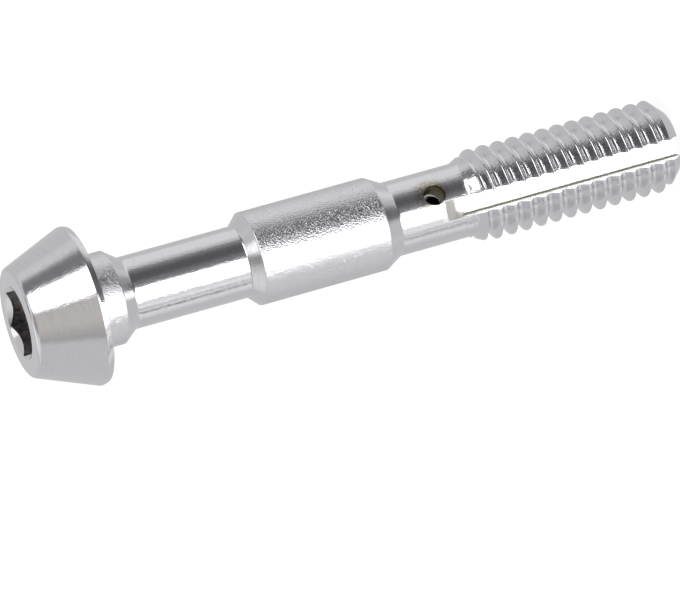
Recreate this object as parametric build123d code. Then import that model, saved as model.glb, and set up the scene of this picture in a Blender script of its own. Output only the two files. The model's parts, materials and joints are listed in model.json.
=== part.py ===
from build123d import *
import os
from math import ceil, cos, floor, radians, tan

# A long hollow banjo bolt, turned from one bar: a cone-shaped head with a hex socket, a collar, a neck,
# a guide diameter, a second neck and a 3/8-16 UNC thread with a vent slot milled along it.
# All sizes are in millimetres and degrees. The bolt is drawn along X with its slot on top, and then stood on
# its tip. Places along it are measured from the seat under the head, towards the tip. A turn is an angle about
# its axis, as drawn, from the slot towards -Y.

# Head
head_d = 15.9
head_h = 6.9
head_cone_deg = 21.8
face_edge = 0.4
rim_l = 0.6
seat_d = 15.6

# Hex socket in the head
socket_af = 6.35
socket_depth = 4.9
socket_mouth_d = 7.45
socket_mouth_deg = 45.0
socket_turn = 17.5
drill_point_deg = 118.0

# Collar and first neck
collar_d = 9.32
collar_l = 2.7
collar_cone_deg = 37.5
neck_1_d = 7.18

# Guide diameter
guide_d = 9.34
guide_x = 17.0
guide_l = 13.1
guide_lead_deg = 45.0
guide_tail_deg = 30.0

# Second neck
neck_2_d = 7.42

# Thread: a right-hand groove, drawn as a V from crest to root, with the place of its first crest on top
thread_d = 9.26
thread_root_d = 7.44
thread_pitch = 1.5875
thread_flank_deg = 37.0
thread_x = 39.2
thread_lead_deg = 27.0
first_crest_x = 40.06
bolt_l = 61.6
tip_d = 6.3
tip_chamfer_deg = 45.0

# Passages: a bore up from the tip, a hole across the second neck and a slot along the thread
bore_d = 2.6
bore_mouth = 0.3
hole_d = 2.0
hole_x = 35.8
hole_turn = -30.0
slot_w = 2.0
slot_floor = 2.3
slot_cutter_d = 6.35
slot_run_x = 39.1

# How far a cutting tool stands out of the metal, and the threading tool out of the crests
beyond = 1.0
thread_beyond = 0.2

head_r = head_d / 2
thread_r = thread_d / 2
thread_root_r = thread_root_d / 2


def cone_length(r_a, r_b, deg):
    """The length along the axis of a cone between two radii, its side at deg to the axis."""
    return abs(r_a - r_b) / tan(radians(deg))


def groove_half_width(r):
    """Half the width of the thread's groove at radius r."""
    return (r - thread_root_r) * tan(radians(thread_flank_deg))


tip_chamfer_x = bolt_l - cone_length(thread_r, tip_d / 2, tip_chamfer_deg)


def turned_blank():
    """The bar as it leaves the lathe, before the thread, the socket and the passages."""
    face_r = head_r - (head_h - rim_l) * tan(radians(head_cone_deg))
    collar_cone_l = cone_length(collar_d / 2, neck_1_d / 2, collar_cone_deg)
    guide_lead_l = cone_length(guide_d / 2, neck_1_d / 2, guide_lead_deg)
    guide_end = guide_x + guide_l
    guide_tail_l = cone_length(guide_d / 2, neck_2_d / 2, guide_tail_deg)
    thread_lead_l = cone_length(thread_r, neck_2_d / 2, thread_lead_deg)
    outline = Polyline(
        (-head_h, 0),
        (-head_h, face_r),
        (-rim_l, head_r),
        (0, seat_d / 2),
        (0, collar_d / 2),
        (collar_l, collar_d / 2),
        (collar_l + collar_cone_l, neck_1_d / 2),
        (guide_x - guide_lead_l, neck_1_d / 2),
        (guide_x, guide_d / 2),
        (guide_end, guide_d / 2),
        (guide_end + guide_tail_l, neck_2_d / 2),
        (thread_x, neck_2_d / 2),
        (thread_x + thread_lead_l, thread_r),
        (tip_chamfer_x, thread_r),
        (bolt_l, tip_d / 2),
        (bolt_l, 0),
        close=True,
    )
    section = make_face(outline)
    face_corner = section.vertices().sort_by_distance((-head_h, face_r))[0]
    section = chamfer(face_corner, face_edge)
    return revolve(section, Axis.X)


def groove_turn():
    """One turn of the V groove between two crests, starting on top with its middle at x = 0."""
    outer_r = thread_r + thread_beyond
    edges = []
    for r, side in ((thread_root_r, 0), (outer_r, 1), (outer_r, -1)):
        start = (side * groove_half_width(r), 0, 0)
        helix = Edge.make_helix(thread_pitch, thread_pitch, r, start, (1, 0, 0))
        edges.append(helix.edges()[0])
    sides = [Face.make_surface_from_curves(edge, edges[i - 1]) for i, edge in enumerate(edges)]
    ends = [Face(Wire(Polyline(*[edge @ end for edge in edges], close=True).edges())) for end in (0, 1)]
    return Solid(Shell(sides + ends))


def thread_grooves():
    """The groove, turn after turn, from the second neck to past the tip."""
    turn = groove_turn()
    first_x = first_crest_x - thread_pitch * (1.5 + floor((first_crest_x - thread_x) / thread_pitch))
    count = ceil((bolt_l - first_x) / thread_pitch) + 1
    return [Pos(first_x + i * thread_pitch, 0, 0) * turn for i in range(count)]


def drilled(x_from, x_to, d):
    """A hole drilled on the axis from x_from, its full diameter ending at x_to in a cone-shaped point."""
    way = 1 if x_to > x_from else -1
    point_l = cone_length(0, d / 2, drill_point_deg / 2)
    section = Polyline((x_from, 0), (x_from, d / 2), (x_to, d / 2), (x_to + way * point_l, 0), close=True)
    return revolve(make_face(section), Axis.X)


def mouth_cone(x, d, deg, way):
    """A countersink of diameter d at x, narrowing into the metal in the direction way."""
    depth = cone_length(0, d / 2, deg)
    section = Polyline((x, 0), (x, d / 2), (x + way * depth, 0), close=True)
    out = Polyline((x, 0), (x, d / 2), (x - way * beyond, d / 2), (x - way * beyond, 0), close=True)
    return revolve(make_face(section), Axis.X) + revolve(make_face(out), Axis.X)


def hex_socket():
    """The hex socket with its drilled bottom and its countersunk mouth."""
    corner_r = socket_af / 2 / cos(radians(30))
    flats = Plane.YZ * RegularPolygon(corner_r, 6)
    prism = extrude(flats, socket_depth + beyond)
    prism = Rot(socket_turn, 0, 0) * prism
    prism = Pos(-head_h - beyond, 0, 0) * prism
    bottom = drilled(-head_h, -head_h + socket_depth, socket_af)
    return [prism, bottom, mouth_cone(-head_h, socket_mouth_d, socket_mouth_deg, 1)]


def axial_bore():
    """The blind bore, drilled up from the tip until it meets the cross hole."""
    return [drilled(bolt_l + beyond, hole_x, bore_d), mouth_cone(bolt_l, bore_d + 2 * bore_mouth, 45, -1)]


def cross_hole():
    """The hole drilled through both walls of the second neck."""
    drill = Cylinder(hole_d / 2, guide_d)
    return Pos(hole_x, 0, 0) * Rot(hole_turn, 0, 0) * drill


def vent_slot():
    """The slot along the thread: a flat floor that ends at the neck in the round of its milling cutter."""
    cutter_r = slot_cutter_d / 2
    out_x = bolt_l + beyond
    run = Polyline(
        (slot_run_x, slot_floor),
        (out_x, slot_floor),
        (out_x, slot_floor + cutter_r),
        (slot_run_x, slot_floor + cutter_r),
        close=True,
    )
    section = make_face(run) + Pos(slot_run_x, slot_floor + cutter_r) * Circle(cutter_r)
    return extrude(Plane.XZ * section, slot_w / 2, both=True)


def banjo_bolt():
    """The whole bolt along X, head towards -X, its seat at x = 0."""
    body = turned_blank()
    body = body.cut(*thread_grooves())
    body = body.cut(*hex_socket(), *axial_bore(), cross_hole(), vent_slot())
    return body


os.makedirs("parts", exist_ok=True)

# The bolt stands on its tip, head up, with the slot to the front
place = Pos(0, 0, bolt_l) * Rot(0, 0, -90) * Rot(0, 90, 0)
bolt = place * banjo_bolt()
bolt.label = "banjo_bolt"
export_step(bolt, "parts/banjo_bolt.step")
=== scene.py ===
import json
from math import acos, ceil, cos, pi, radians, sin, tan

import bmesh
import bpy
from mathutils import Matrix, Vector


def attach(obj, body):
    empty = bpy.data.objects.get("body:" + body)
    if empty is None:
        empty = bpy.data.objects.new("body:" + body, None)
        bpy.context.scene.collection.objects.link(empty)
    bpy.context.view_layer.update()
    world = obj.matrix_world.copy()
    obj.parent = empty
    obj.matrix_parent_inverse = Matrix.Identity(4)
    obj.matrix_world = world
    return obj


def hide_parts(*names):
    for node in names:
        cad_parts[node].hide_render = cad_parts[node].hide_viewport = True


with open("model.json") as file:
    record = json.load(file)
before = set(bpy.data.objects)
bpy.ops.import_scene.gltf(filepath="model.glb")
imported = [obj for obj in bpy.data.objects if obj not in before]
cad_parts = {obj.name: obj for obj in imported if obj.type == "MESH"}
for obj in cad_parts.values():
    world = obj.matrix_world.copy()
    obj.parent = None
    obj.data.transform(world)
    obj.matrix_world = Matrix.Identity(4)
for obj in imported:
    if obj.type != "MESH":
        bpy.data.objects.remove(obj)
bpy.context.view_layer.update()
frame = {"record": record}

# The bolt is drawn in millimetres, standing on its tip at z = 0 with its slot towards -Y. Places along it
# are measured from the seat under the head, towards the tip, as in the part's source. A turn is an angle
# about the axis, in degrees from the slot towards -X.
MM = 0.001
SEAT_Z = next(m for m in frame["record"]["mounts"] if m["name"] == "seat")["pos_m"][2] / MM

# Fineness of the curved faces, in steps to a turn or to a corner
ROUND_STEPS = 192
DRILL_STEPS = 96
CROSS_DRILL_STEPS = 72
THREAD_STEPS = 96
CORNER_STEPS = 5

# Head and hex socket
FACE = -6.9
FACE_R = 5.43
RIM = -0.6
RIM_R = 7.95
SEAT_R = 7.8
SOCKET_FLOOR = -2.0
SOCKET_FLAT_R = 3.175
SOCKET_MOUTH_R = 3.725
SOCKET_TURN = -12.5

# Collar, necks and guide
COLLAR_END = 2.7
COLLAR_R = 4.66
NECK_1_START = 4.09
NECK_1_END = 15.92
NECK_1_R = 3.59
GUIDE_START = 17.0
GUIDE_END = 30.1
GUIDE_R = 4.67
NECK_2_START = 31.76
NECK_2_R = 3.71

# Thread
PITCH = 1.5875
FIRST_CREST = 40.06
CREST_R = 4.63
ROOT_R = 3.73
CREST_FLAT = 0.1
FLANK = radians(30)
LEAD_START = 39.2
LEAD = radians(27)
TIP = 61.6
TIP_R = 3.15

# Bore, cross hole and slot
DRILL_POINT = radians(59)
BORE_R = 1.3
BORE_MOUTH = 0.3
HOLE = 35.8
HOLE_R = 1.0
HOLE_TURN = -30
SLOT_HALF = 1.0
SLOT_FLOOR_R = 2.3
SLOT_CUTTER_R = 3.175
SLOT_CUTTER_STOP = 39.1


def height(x):
    """The height of a place along the bolt."""
    return SEAT_Z - x


def spot(x, turn, r):
    """The point at a place along the bolt, a turn and a radius."""
    outward = Vector((-sin(radians(turn)), -cos(radians(turn)), 0))
    return outward * r + Vector((0, 0, height(x)))


def rounded(outline):
    """A line through (place, radius) points, where a third value rounds the corner to that radius.

    Every rounding has a close point on each side, so that the flat faces beside it stay flat in their shine.
    """
    margin = 0.25
    line = []
    for i, (x, r, *corner) in enumerate(outline):
        here = Vector((x, r))
        if not corner:
            line.append(here)
            continue
        corner = corner[0]
        back = (Vector(outline[i - 1][:2]) - here).normalized()
        on = (Vector(outline[i + 1][:2]) - here).normalized()
        half = acos(max(-1, min(1, back.dot(on)))) / 2
        reach = corner / tan(half)
        close = reach + margin * corner
        centre = here + (back + on).normalized() * corner / sin(half)
        first = here + back * reach - centre
        last = here + on * reach - centre
        sweep = pi - 2 * half
        side = 1 if first.x * last.y - first.y * last.x > 0 else -1
        line.append(here + back * close)
        for k in range(CORNER_STEPS + 1):
            a = side * sweep * k / CORNER_STEPS
            swung = Vector((first.x * cos(a) - first.y * sin(a), first.x * sin(a) + first.y * cos(a)))
            line.append(centre + swung)
        line.append(here + on * close)
    return line


def subdivided(line, step):
    """The same line with points no further apart than step."""
    out = [line[0]]
    for a, b in zip(line, line[1:]):
        parts = max(1, ceil((b - a).length / step))
        out += [a.lerp(b, k / parts) for k in range(1, parts + 1)]
    return out


def drawn_line(bm, points):
    """Points of (place, radius) as a chain of edges in the plane of the slot."""
    verts = [bm.verts.new((0, -r, height(x))) for x, r in points]
    return verts + [bm.edges.new(pair) for pair in zip(verts, verts[1:])]


def everything(bm):
    """All points, edges and faces of bm."""
    return bm.verts[:] + bm.edges[:] + bm.faces[:]


def shifted(bm, geom, way):
    """Moves the points among geom along way."""
    points = [item for item in geom if isinstance(item, bmesh.types.BMVert)]
    bmesh.ops.translate(bm, vec=way, verts=points)


def pushed(bm, corners, way):
    """A solid, made from a flat face with the given corners that is pushed along way."""
    face = bm.faces.new([bm.verts.new(corner) for corner in corners])
    shifted(bm, bmesh.ops.extrude_face_region(bm, geom=[face])["geom"], way)


def cleaned(bm, gap, sliver):
    """Joins points closer together than gap and removes edges shorter than sliver."""
    bmesh.ops.remove_doubles(bm, verts=bm.verts, dist=gap)
    bmesh.ops.dissolve_degenerate(bm, edges=bm.edges, dist=sliver)


def in_scene(name, data):
    """A new object in the scene, made from a mesh or a camera."""
    obj = bpy.data.objects.new(name, data)
    bpy.context.scene.collection.objects.link(obj)
    return obj


def piece(name, bm):
    """An object made from bm, with its faces turned outward."""
    cleaned(bm, gap=1e-5, sliver=1e-6)
    bmesh.ops.recalc_face_normals(bm, faces=bm.faces)
    mesh = bpy.data.meshes.new(name)
    bm.to_mesh(mesh)
    bm.free()
    return in_scene(name, mesh)


def turned(name, outline, step, steps=ROUND_STEPS):
    """A solid of revolution, from an outline for rounded() that starts and ends on the axis.

    Its faces are no longer than step along the outline.
    """
    bm = bmesh.new()
    geom = drawn_line(bm, subdivided(rounded(outline), step))
    bmesh.ops.spin(bm, geom=geom, cent=(0, 0, 0), axis=(0, 0, 1), angle=2 * pi, steps=steps, use_merge=True)
    return piece(name, bm)


def combined(base, tools, way):
    """base joined with, cut by or kept inside each of the tools, which are used up."""
    for tool in tools:
        change = base.modifiers.new(tool.name, "BOOLEAN")
        change.operation = way
        change.solver = "MANIFOLD"
        change.object = tool
    graph = bpy.context.evaluated_depsgraph_get()
    mesh = bpy.data.meshes.new_from_object(base.evaluated_get(graph))
    base.modifiers.clear()
    base.data = mesh
    for tool in tools:
        bpy.data.objects.remove(tool)
    return base


def turned_body():
    """The head, collar, necks and guide as they leave the lathe, with a plug reaching into the thread."""
    plug_start = LEAD_START + 0.3
    plug_end = 52
    plug_r = ROOT_R - 0.15
    outline = [
        (FACE, 0),
        (FACE, FACE_R, 0.55),
        (RIM, RIM_R, 0.5),
        (0, SEAT_R, 0.12),
        (0, COLLAR_R, 0.1),
        (COLLAR_END, COLLAR_R, 0.12),
        (NECK_1_START, NECK_1_R, 0.5),
        (NECK_1_END, NECK_1_R, 0.35),
        (GUIDE_START, GUIDE_R, 0.12),
        (GUIDE_END, GUIDE_R, 0.15),
        (NECK_2_START, NECK_2_R, 0.5),
        (plug_start, NECK_2_R),
        (plug_start, plug_r),
        (plug_end, plug_r),
        (plug_end, 0),
    ]
    return turned("bolt", outline, step=1.0)


def threaded_rod():
    """A threaded rod with rounded crests and roots, longer than the bolt's thread, its ends closed."""
    crest_corner = 0.11
    root_corner = 0.15
    foot = CREST_FLAT + (CREST_R - ROOT_R) * tan(FLANK)
    form = [
        (0, CREST_R),
        (CREST_FLAT, CREST_R, crest_corner),
        (foot, ROOT_R, root_corner),
        (PITCH - foot, ROOT_R, root_corner),
        (PITCH - CREST_FLAT, CREST_R, crest_corner),
        (PITCH, CREST_R),
    ]
    turns = 18
    turns_after_first = 14
    lowest_crest = FIRST_CREST + turns_after_first * PITCH
    bm = bmesh.new()
    geom = drawn_line(bm, [(lowest_crest + x, r) for x, r in subdivided(rounded(form), step=0.25)])
    bmesh.ops.spin(bm, geom=geom, cent=(0, 0, 0), axis=(0, 0, 1), dvec=(0, 0, PITCH / THREAD_STEPS),
                   angle=2 * pi, steps=THREAD_STEPS)
    one_turn = everything(bm)
    for k in range(1, turns):
        copy = bmesh.ops.duplicate(bm, geom=one_turn)["geom"]
        shifted(bm, copy, (0, 0, k * PITCH))
    gap = 1e-4
    bmesh.ops.remove_doubles(bm, verts=bm.verts, dist=gap)
    past_tip = 0.6
    before_lead = 1.0
    for x, side in ((TIP + past_tip, -1), (LEAD_START - before_lead, 1)):
        bmesh.ops.bisect_plane(bm, geom=everything(bm), plane_co=(0, 0, height(x)), plane_no=(0, 0, side),
                               clear_outer=True)
        rim = [e for e in bm.edges if e.is_boundary and abs(e.verts[0].co.z - height(x)) < gap]
        bmesh.ops.contextual_create(bm, geom=rim)
    return piece("threaded_rod", bm)


def thread_envelope():
    """What the thread is cut down to: a cone at its start and a chamfer at the tip."""
    over_r = CREST_R + 0.15
    inside = 0.3
    outline = [
        (LEAD_START - inside, 0),
        (LEAD_START - inside, NECK_2_R - inside * tan(LEAD)),
        (LEAD_START + (over_r - NECK_2_R) / tan(LEAD), over_r),
        (TIP - (over_r - TIP_R), over_r),
        (TIP, TIP_R, 0.1),
        (TIP, 0),
    ]
    return turned("thread_envelope", outline, step=1.0)


def slot_cutter():
    """The milling cutter's path along the thread, its end round, sunk to the slot's floor."""
    top_r = SLOT_FLOOR_R + SLOT_CUTTER_R
    beyond = TIP + 1
    angles = [radians(a) for a in range(0, 91, 3)]
    path = [(beyond, SLOT_FLOOR_R)]
    path += [(SLOT_CUTTER_STOP - SLOT_CUTTER_R * sin(a), top_r - SLOT_CUTTER_R * cos(a)) for a in angles]
    path += [(beyond, top_r)]
    bm = bmesh.new()
    pushed(bm, [(-SLOT_HALF, -r, height(x)) for x, r in path], (2 * SLOT_HALF, 0, 0))
    return piece("slot_cutter", bm)


def cross_drill():
    """The drill for the hole through the second neck, with a broken edge at each mouth."""
    edge = 0.12
    mouth_r = HOLE_R + edge
    reach = 6
    outline = [
        (-reach, 0),
        (-reach, mouth_r),
        (-NECK_2_R, mouth_r),
        (-NECK_2_R + 2 * edge, HOLE_R),
        (NECK_2_R - 2 * edge, HOLE_R),
        (NECK_2_R, mouth_r),
        (reach, mouth_r),
        (reach, 0),
    ]
    drill = turned("cross_drill", outline, step=2 * reach, steps=CROSS_DRILL_STEPS)
    drill.data.transform(Matrix.Translation((0, 0, -SEAT_Z)))
    drill.data.transform(Matrix.Rotation(radians(90), 4, "X"))
    drill.data.transform(Matrix.Rotation(radians(-HOLE_TURN), 4, "Z"))
    drill.data.transform(Matrix.Translation((0, 0, height(HOLE))))
    return drill


def bore_drill():
    """The drill that bores the bolt from its tip up to the cross hole, with a countersink at the mouth."""
    point = BORE_R / tan(DRILL_POINT)
    beyond = 0.5
    outline = [
        (HOLE - point, 0),
        (HOLE, BORE_R),
        (TIP - BORE_MOUTH, BORE_R),
        (TIP + beyond, BORE_R + BORE_MOUTH + beyond),
        (TIP + beyond, 0),
    ]
    return turned("bore_drill", outline, step=2.0, steps=DRILL_STEPS)


def hex_broach():
    """The hex socket's flats."""
    corner_r = SOCKET_FLAT_R / cos(radians(30))
    bm = bmesh.new()
    corners = [spot(SOCKET_FLOOR, 60 * k + SOCKET_TURN, corner_r) for k in range(6)]
    pushed(bm, corners, (0, 0, SOCKET_FLOOR - FACE + 1))
    return piece("hex_broach", bm)


def socket_drill():
    """The socket's drilled bottom, a hair narrower than the flats."""
    drill_r = SOCKET_FLAT_R - 0.0001
    point = drill_r / tan(DRILL_POINT)
    beyond = FACE - 1
    outline = [(SOCKET_FLOOR + point, 0), (SOCKET_FLOOR, drill_r), (beyond, drill_r), (beyond, 0)]
    return turned("socket_drill", outline, step=1.0, steps=DRILL_STEPS)


def socket_countersink():
    """The countersunk mouth of the socket."""
    beyond = 0.5
    outline = [(FACE - beyond, 0), (FACE - beyond, SOCKET_MOUTH_R + beyond), (FACE + SOCKET_MOUTH_R, 0)]
    return turned("socket_countersink", outline, step=0.6)


def finished_bolt():
    """The whole bolt, in metres."""
    thread = combined(threaded_rod(), [thread_envelope()], "INTERSECT")
    bolt = combined(turned_body(), [thread], "UNION")
    cuts = [socket_countersink(), hex_broach(), socket_drill(), bore_drill(), cross_drill(), slot_cutter()]
    bolt = combined(bolt, cuts, "DIFFERENCE")
    bm = bmesh.new()
    bm.from_mesh(bolt.data)
    cleaned(bm, gap=1e-4, sliver=1e-4)
    for face in bm.faces:
        face.smooth = True
    sharp = radians(32)
    for edge in bm.edges:
        edge.smooth = edge.is_manifold and edge.calc_face_angle(0) < sharp
    bm.to_mesh(bolt.data)
    bm.free()
    bolt.data.transform(Matrix.Scale(MM, 4))
    bolt.data.update()
    return bolt


def new_material(name):
    """A new material, with its node tree and its shader."""
    material = bpy.data.materials.new(name)
    material.use_nodes = True
    return material, material.node_tree, material.node_tree.nodes["Principled BSDF"]


def node(tree, kind, **settings):
    """A new node with some of its settings."""
    made = tree.nodes.new(kind)
    for key, value in settings.items():
        setattr(made, key, value)
    return made


def separated(tree, vector):
    """The X, Y and Z of a vector."""
    split = node(tree, "ShaderNodeSeparateXYZ")
    tree.links.new(vector, split.inputs[0])
    return split.outputs


def vector_step(tree, operation, vector, other=None):
    """One step of vector arithmetic, with a second, fixed vector where it takes one."""
    step = node(tree, "ShaderNodeVectorMath", operation=operation)
    tree.links.new(vector, step.inputs[0])
    if other is not None:
        step.inputs[1].default_value = other
    return step.outputs["Value" if operation in ("DISTANCE", "DOT_PRODUCT") else "Vector"]


def folded(tree, operation, values):
    """The values taken together, two at a time."""
    out = values[0]
    for value in values[1:]:
        step = node(tree, "ShaderNodeMath", operation=operation)
        tree.links.new(out, step.inputs[0])
        tree.links.new(value, step.inputs[1])
        out = step.outputs[0]
    return out


def product(tree, *values):
    """The product of some values."""
    return folded(tree, "MULTIPLY", values)


def largest(tree, *values):
    """The largest of some values."""
    return folded(tree, "MAXIMUM", values)


def ramp(tree, value, zero_at, one_at):
    """0 to 1, eased, while value goes from zero_at to one_at."""
    ease = node(tree, "ShaderNodeMapRange", interpolation_type="SMOOTHSTEP")
    ease.inputs["From Min"].default_value = zero_at
    ease.inputs["From Max"].default_value = one_at
    tree.links.new(value, ease.inputs["Value"])
    return ease.outputs["Result"]


def band(tree, value, low, high, soft):
    """1 while value is between low and high, fading to 0 over soft on each side."""
    rise = ramp(tree, value, low - soft, low + soft)
    fall = ramp(tree, value, high + soft, high - soft)
    return product(tree, rise, fall)


def near(tree, place, point, full_at, none_at):
    """1 within full_at of a point, fading to 0 at none_at, all in millimetres."""
    gap = vector_step(tree, "DISTANCE", place, Vector(point) * MM)
    return ramp(tree, gap, none_at * MM, full_at * MM)


def grain(tree, place, size, detail):
    """Noise with features of the given size in millimetres."""
    noise = node(tree, "ShaderNodeTexNoise")
    noise.inputs["Scale"].default_value = 1 / (size * MM)
    noise.inputs["Detail"].default_value = detail
    tree.links.new(place, noise.inputs["Vector"])
    return noise.outputs["Fac"]


def mixed(tree, mask, below, above):
    """below where mask is 0 and above where it is 1, each of them a colour or a socket."""
    mix = node(tree, "ShaderNodeMix", data_type="RGBA")
    tree.links.new(mask, mix.inputs["Factor"])
    for source, socket in ((below, mix.inputs[6]), (above, mix.inputs[7])):
        if isinstance(source, tuple):
            socket.default_value = (*source, 1)
        else:
            tree.links.new(source, socket)
    return mix.outputs[2]


def blended(tree, mask, below, above):
    """The socket below where mask is 0 and the number above where it is 1."""
    mix = node(tree, "ShaderNodeMix")
    tree.links.new(mask, mix.inputs["Factor"])
    tree.links.new(below, mix.inputs["A"])
    mix.inputs["B"].default_value = above
    return mix.outputs["Result"]


def chrome():
    """Bright chrome plate: smooth on the necks and the head, pebbled on the guide and the collar."""
    material, tree, shader = new_material("bright_chrome")
    place = node(tree, "ShaderNodeTexCoord").outputs["Object"]
    up = separated(tree, place)["Z"]

    def along(first, last, soft):
        """1 between two places along the bolt, in millimetres from the seat."""
        return band(tree, up, height(last) * MM, height(first) * MM, soft * MM)

    # Patterns, some of them drawn out around the bolt or along it
    around = vector_step(tree, "MULTIPLY", place, (0.12, 0.12, 1))
    lengthwise = vector_step(tree, "MULTIPLY", place, (1, 1, 0.35))
    turning_marks = grain(tree, around, size=0.16, detail=3)
    speckle = grain(tree, place, size=0.3, detail=3)
    patches = grain(tree, place, size=1.6, detail=3)
    clouds = grain(tree, lengthwise, size=0.35, detail=3)
    pebbles = grain(tree, place, size=0.13, detail=1)
    skin = grain(tree, lengthwise, size=0.13, detail=2)
    tears = grain(tree, lengthwise, size=0.25, detail=3)

    # Stretches of the bolt
    collar = along(0, COLLAR_END + 0.05, soft=0.1)
    guide = along(GUIDE_START - 0.1, GUIDE_END + 0.1, soft=0.1)
    neck = along(30.5, 39.5, soft=0.5)
    thread = along(38.5, TIP, soft=0.3)
    pebbled = largest(tree, guide, collar)

    # The floor of the slot, milled bright, and painted shade in its corners
    from_middle = vector_step(tree, "ABSOLUTE", vector_step(tree, "MULTIPLY", place, (1, 1, 0)))
    sideways, outward, _ = separated(tree, from_middle)
    across = ramp(tree, sideways, zero_at=(SLOT_HALF + 0.03) * MM, one_at=(SLOT_HALF - 0.01) * MM)
    deep = band(tree, outward, low=2.2 * MM, high=3.75 * MM, soft=0.05 * MM)
    slot = product(tree, across, deep, along(35.95, TIP, soft=0.05))
    # Painted shade: a dark line along the corners between the slot's floor and its walls
    corner = near(tree, from_middle, (SLOT_HALF, SLOT_FLOOR_R, 0), full_at=0.06, none_at=0.18)
    corner = product(tree, corner, along(38.4, TIP, soft=0.4))

    # A stain around the mouth of the cross hole, painted shade on its wall, and painted shade with a
    # brownish painted reflection in the hex socket
    beside_hole = spot(HOLE, HOLE_TURN, NECK_2_R) + Vector((0.25, 0, 0.3))
    stain = near(tree, place, beside_hole, full_at=1.1, none_at=2.1)
    stain = product(tree, stain, ramp(tree, speckle, zero_at=0.2, one_at=0.65))
    # Painted shade: the inside of the cross hole is darkened olive
    inside_hole = spot(HOLE, HOLE_TURN, r=2.3)
    hole_wall_shade = near(tree, place, inside_hole, full_at=1.35, none_at=1.5)
    hole_wall_shade = product(tree, hole_wall_shade, ramp(tree, slot, zero_at=1, one_at=0))
    # Painted shade with a brownish painted reflection, darkening the inside of the hex socket
    inside_socket = (0, 0, height(-3.0))
    socket_shade = near(tree, place, inside_socket, full_at=3.3, none_at=4.1)
    socket_shade = product(tree, socket_shade, ramp(tree, speckle, zero_at=0.25, one_at=0.8))

    violet_plate = (0.755, 0.75, 0.777)
    bright_plate = (0.8, 0.796, 0.822)
    plain_plate = (0.78, 0.776, 0.803)
    milled = (0.92, 0.91, 0.88)
    brown_stain = (0.5, 0.45, 0.35)
    # Painted shade on the cross hole's wall
    olive_painted_shade = (0.17, 0.155, 0.08)
    # Painted shade along the slot's corners
    grey_painted_shade = (0.2, 0.2, 0.16)
    # Painted shade and brownish painted reflection inside the hex socket
    brown_painted_shade = (0.5, 0.44, 0.36)
    bright_marks = ramp(tree, turning_marks, zero_at=0.3, one_at=0.7)
    plain_patches = ramp(tree, patches, zero_at=0.35, one_at=0.65)
    colour = mixed(tree, bright_marks, violet_plate, bright_plate)
    for mask, shade in (
        (plain_patches, plain_plate),
        (slot, milled),
        (stain, brown_stain),
        (hole_wall_shade, olive_painted_shade),
        (corner, grey_painted_shade),
        (socket_shade, brown_painted_shade),
    ):
        colour = mixed(tree, mask, colour, shade)
    tree.links.new(colour, shader.inputs["Base Color"])

    # Where shade is painted, in the cross hole and the slot's corners, the plate is made hardly metal, and
    # the milled floor of the slot shines less than the plate
    milled_dullness = 0.6
    dull = node(tree, "ShaderNodeMath", operation="MULTIPLY_ADD")
    dull.inputs[1].default_value = milled_dullness
    tree.links.new(slot, dull.inputs[0])
    tree.links.new(largest(tree, hole_wall_shade, corner), dull.inputs[2])
    metal = ramp(tree, dull.outputs[0], zero_at=1 + milled_dullness, one_at=0)
    tree.links.new(metal, shader.inputs["Metallic"])

    polish = node(tree, "ShaderNodeMapRange")
    polish.inputs["To Min"].default_value = 0.07
    polish.inputs["To Max"].default_value = 0.18
    tree.links.new(ramp(tree, clouds, zero_at=0.35, one_at=0.75), polish.inputs["Value"])
    pebbled_roughness = 0.2
    neck_roughness = 0.17
    roughness = blended(tree, pebbled, polish.outputs["Result"], pebbled_roughness)
    roughness = blended(tree, neck, roughness, neck_roughness)
    tree.links.new(roughness, shader.inputs["Roughness"])

    # Bumps, one on top of the other: their height in millimetres, their pattern and where they are
    normal = None
    for bump_height, pattern, mask in (
        (0.05, pebbles, pebbled),
        (0.01, skin, None),
        (0.02, tears, thread),
        (0.003, turning_marks, None),
    ):
        bump = node(tree, "ShaderNodeBump")
        bump.inputs["Distance"].default_value = bump_height * MM
        tree.links.new(pattern, bump.inputs["Height"])
        if mask is not None:
            tree.links.new(mask, bump.inputs["Strength"])
        if normal is not None:
            tree.links.new(normal, bump.inputs["Normal"])
        normal = bump.outputs["Normal"]
    tree.links.new(normal, shader.inputs["Normal"])
    return material


def facing(tree, way, turn, rise, half, soft):
    """1 where way is within half of a direction, fading over soft on each side, all in degrees.

    A direction is given by its turn, 0 towards -X and 90 towards the slot's side, and its rise above level.
    """
    turn, rise = radians(turn), radians(rise)
    middle = (-cos(turn) * cos(rise), -sin(turn) * cos(rise), sin(rise))
    closeness = vector_step(tree, "DOT_PRODUCT", way, middle)
    return ramp(tree, closeness, cos(radians(half + soft)), cos(radians(half - soft)))


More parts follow.
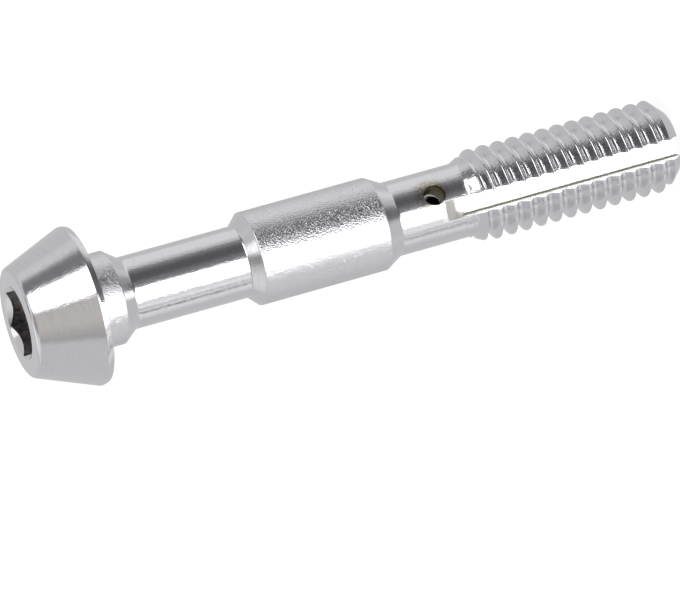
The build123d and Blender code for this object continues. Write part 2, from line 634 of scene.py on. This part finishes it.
def studio_world():
    """White to the camera. The chrome also sees the studio's lamps, cards and dark flags around the bolt."""
    world = bpy.data.worlds.new("studio")
    bpy.context.scene.world = world
    world.use_nodes = True
    tree = world.node_tree
    tree.nodes.clear()
    way = node(tree, "ShaderNodeTexCoord").outputs["Generated"]
    level = vector_step(tree, "NORMALIZE", vector_step(tree, "MULTIPLY", way, (1, 1, 0)))
    up = separated(tree, way)["Z"]

    walls = (0.6, 0.6, 0.6)
    lamp = (3.2, 3.2, 3.2)
    # Upright panels: the turn that faces them, half their width, the softness of their sides, the rise of
    # their foot and of their head, all in degrees, and their colour
    panels = [
        # low, seen in the necks, the guide and the collar
        (205, 20, 6, -60, 2, (0.81, 0.81, 0.81)),
        (10, 10, 5, -60, 2, (0.72, 0.72, 0.72)),
        (34, 26, 3, -60, 2, (0.84, 0.84, 0.84)),
        (45.5, 3, 1.5, -60, 2, (1.05, 1.05, 1.05)),
        (38.5, 1.4, 1, -60, 2, (0.36, 0.36, 0.36)),
        (24.5, 2.2, 1.2, -60, 2, (0.16, 0.16, 0.16)),
        (86, 21.5, 2.5, -60, 5, lamp),
        (140.5, 31.5, 4, -60, 2, (0.225, 0.22, 0.23)),
        (143, 13, 9, -60, 2, (0.11, 0.107, 0.11)),
        (119, 16, 4, -70, -24, (0.15, 0.148, 0.15)),
        (102, 7, 2, -70, -30, (0.27, 0.265, 0.26)),
        # high, seen in the cone of the head
        (199, 9, 5, 2, 50, (0.69, 0.69, 0.69)),
        (52, 5, 2.5, 2, 33, (0.41, 0.4, 0.395)),
        (84.5, 28.5, 1.5, 2, 33, (0.475, 0.462, 0.442)),
        (88, 14, 14, 2, 33, (0.575, 0.555, 0.525)),
        (135.5, 19.8, 1, 5, 42, lamp),
        (170, 15, 5, 2, 55, (0.215, 0.21, 0.22)),
        (90, 30, 8, 35, 60, (0.33, 0.325, 0.32)),
        (145, 26, 6, 43, 58, (0.55, 0.55, 0.55)),
        (20, 40, 12, 36, 64, (0.78, 0.78, 0.78)),
        # behind the bolt, seen in the face of the head
        (282.5, 14, 5, 12, 32, (0.63, 0.63, 0.63)),
    ]
    end_softness = 0.03
    # Round panels overhead and underneath: their turn and rise, half their width and their softness, in
    # degrees, and their colour
    rounds = [
        (316, 69, 16, 4, (1.0, 1.0, 1.0)),
        (285, 86, 5, 3, (1.2, 1.2, 1.2)),
        (258, 72, 9.5, 3, (0.12, 0.118, 0.12)),
        (150, 70, 9, 3, (1.3, 1.3, 1.3)),
        (85, 72, 9, 3, (0.33, 0.31, 0.31)),
        (138, -76, 11, 4, (0.15, 0.15, 0.15)),
        (205, -78, 9, 5, (0.33, 0.33, 0.335)),
        (60, -86, 5, 3, (0.8, 0.8, 0.8)),
    ]
    colour = walls
    for turn, half, soft, foot, head, shade in panels:
        across = facing(tree, level, turn, 0, half, soft)
        tall = band(tree, up, sin(radians(foot)), sin(radians(head)), end_softness)
        colour = mixed(tree, product(tree, across, tall), colour, shade)
    for turn, rise, half, soft, shade in rounds:
        colour = mixed(tree, facing(tree, way, turn, rise, half, soft), colour, shade)

    seen = node(tree, "ShaderNodeBackground")
    seen.inputs["Color"].default_value = (1, 1, 1, 1)
    studio = node(tree, "ShaderNodeBackground")
    tree.links.new(colour, studio.inputs["Color"])
    path = node(tree, "ShaderNodeLightPath")
    choice = node(tree, "ShaderNodeMixShader")
    tree.links.new(path.outputs["Is Glossy Ray"], choice.inputs[0])
    tree.links.new(seen.outputs[0], choice.inputs[1])
    tree.links.new(studio.outputs[0], choice.inputs[2])
    out = node(tree, "ShaderNodeOutputWorld")
    tree.links.new(choice.outputs[0], out.inputs["Surface"])


def studio_floor():
    """A plain white floor that keeps the bolt's shadow. The polished sides see the studio beyond it."""
    bm = bmesh.new()
    bmesh.ops.create_circle(bm, cap_ends=True, radius=0.9, segments=96)
    mesh = bpy.data.meshes.new("floor")
    bm.to_mesh(mesh)
    bm.free()
    floor = in_scene("floor", mesh)
    floor.visible_glossy = False
    material, _, shader = new_material("floor_white")
    shader.inputs["Base Color"].default_value = (0.18, 0.18, 0.18, 1)
    shader.inputs["Roughness"].default_value = 0.9
    shader.inputs["Specular IOR Level"].default_value = 0
    shader.inputs["Emission Color"].default_value = (1, 1, 1, 1)
    shader.inputs["Emission Strength"].default_value = 0.86
    mesh.materials.append(material)


def add_camera():
    """A long lens, turned so that the bolt runs across the picture."""
    round_from_slot = 12.5
    above_level = 16.36
    roll = 105.78
    camera = bpy.data.cameras.new("camera")
    camera.lens = 360
    camera.sensor_width = 36
    obj = in_scene("camera", camera)
    place = Vector((131.36, -621.29, height(-161.70))) * MM
    turns = Matrix.Rotation(radians(round_from_slot), 4, "Z")
    turns = turns @ Matrix.Rotation(radians(90 - above_level), 4, "X")
    turns = turns @ Matrix.Rotation(radians(-roll), 4, "Z")
    obj.matrix_world = Matrix.Translation(place) @ turns
    bpy.context.scene.camera = obj


bolt = finished_bolt()
bolt.data.materials.clear()
bolt.data.materials.append(chrome())
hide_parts("banjo_bolt")
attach(bolt, "root")

studio_world()
studio_floor()
add_camera()
bpy.context.scene.view_settings.view_transform = "Standard"
